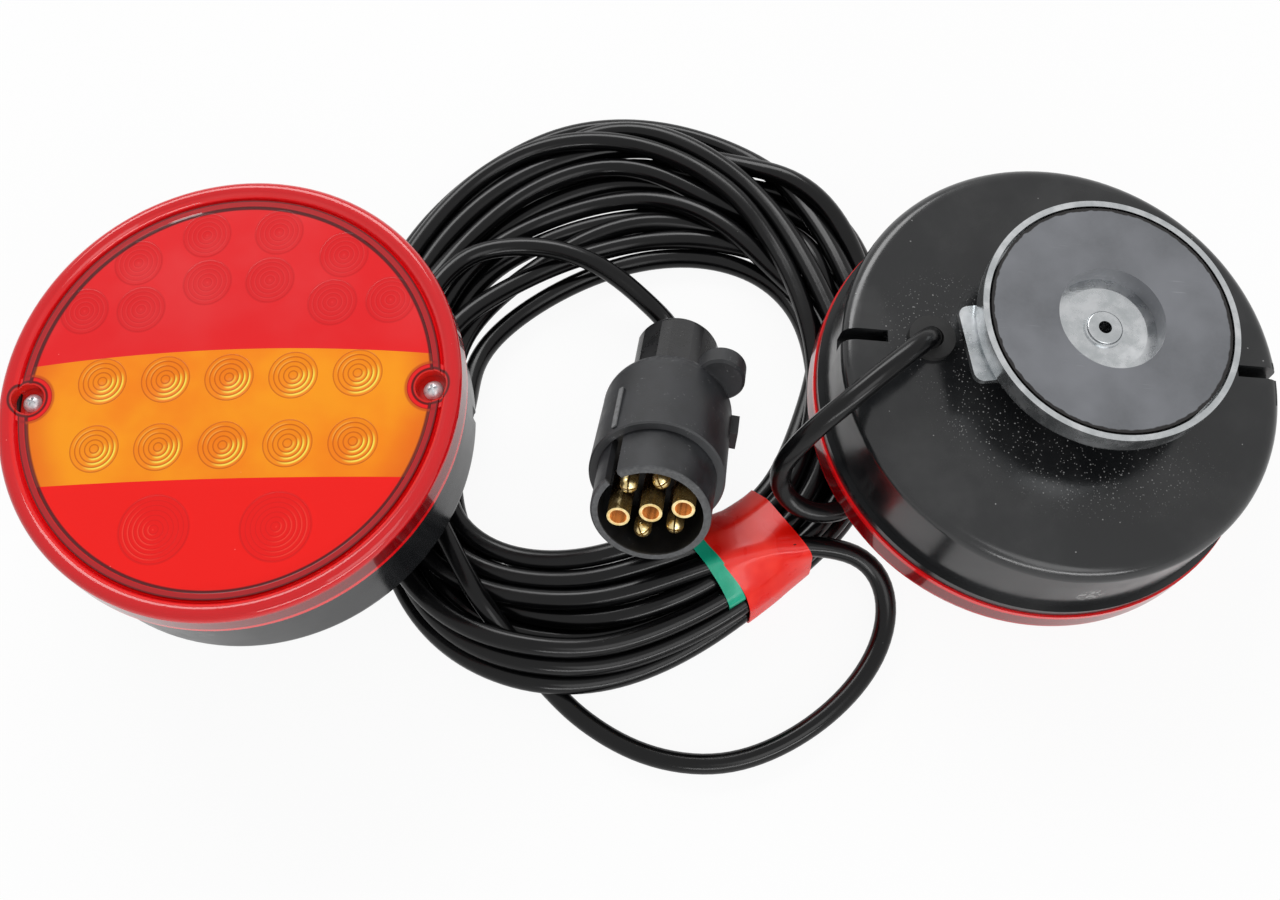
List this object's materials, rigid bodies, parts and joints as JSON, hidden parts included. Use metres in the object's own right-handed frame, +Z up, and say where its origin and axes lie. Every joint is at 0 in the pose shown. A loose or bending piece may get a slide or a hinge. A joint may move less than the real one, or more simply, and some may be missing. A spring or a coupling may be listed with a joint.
{
  "type": "magnetic trailer light kit",
  "caption": "Pair of round rear lamps with red and amber lenses on magnet feet, joined by a coiled black cable that ends in a round trailer plug.",
  "frame": {"origin": "middle of the rectangle that the two lamps cover, on the surface that the kit lies on", "axes": "+X from the left lamp to the right lamp, +Z up from the surface, +Y away from the plug's open end"},
  "size_m": [0.383, 0.2273, 0.0787],
  "materials": {
    "black_plastic": "satin moulded black",
    "plug_plastic": "matt moulded black with fine rub marks",
    "lens_red": "clear red acrylic",
    "lens_amber": "clear amber acrylic",
    "rubber_black": "matt black rubber",
    "board_green": "green solder mask",
    "led_red": "clear red resin",
    "led_amber": "clear amber resin",
    "zinc_steel": "zinc plated, slightly dull",
    "screw_steel": "bright zinc",
    "ferrite": "dark grey sintered ferrite, ground flat",
    "contact_brass": "bright brass",
    "cable_black": "satin black sheath",
    "tape_red": "red tape",
    "tape_green": "green tape"
  },
  "bodies": {
    "root": {"left_rear_housing": "black_plastic", "left_lens_red": "lens_red", "left_lens_amber": "lens_amber", "left_lens_gasket": "rubber_black", "left_led_board": "board_green", "left_leds_red": "led_red", "left_leds_amber": "led_amber", "left_board_screws": "screw_steel", "left_lens_screws": "screw_steel", "left_cable_grommet": "rubber_black", "left_plug_grommet": "rubber_black", "left_magnet_bracket": "zinc_steel", "left_bracket_screws": "screw_steel", "left_magnet_cup": "zinc_steel", "left_magnet_ring": "ferrite", "left_magnet_rivet": "zinc_steel", "right_rear_housing": "black_plastic", "right_lens_red": "lens_red", "right_lens_amber": "lens_amber", "right_lens_gasket": "rubber_black", "right_led_board": "board_green", "right_leds_red": "led_red", "right_leds_amber": "led_amber", "right_board_screws": "screw_steel", "right_lens_screws": "screw_steel", "right_cable_grommet": "rubber_black", "right_magnet_bracket": "zinc_steel", "right_bracket_screws": "screw_steel", "right_magnet_cup": "zinc_steel", "right_magnet_ring": "ferrite", "right_magnet_rivet": "zinc_steel", "plug_shell": "plug_plastic", "plug_insert": "plug_plastic", "plug_pins": "contact_brass", "plug_tubes": "contact_brass", "plug_cap_nut": "plug_plastic", "plug_seal": "rubber_black", "plug_lead": "cable_black", "left_plug_lead": "cable_black", "left_link_lead": "cable_black", "loose_loop": "cable_black", "right_lead": "cable_black", "cable_coil": "cable_black", "tape_red": "tape_red", "tape_green": "tape_green"}
  },
  "joints": []
}
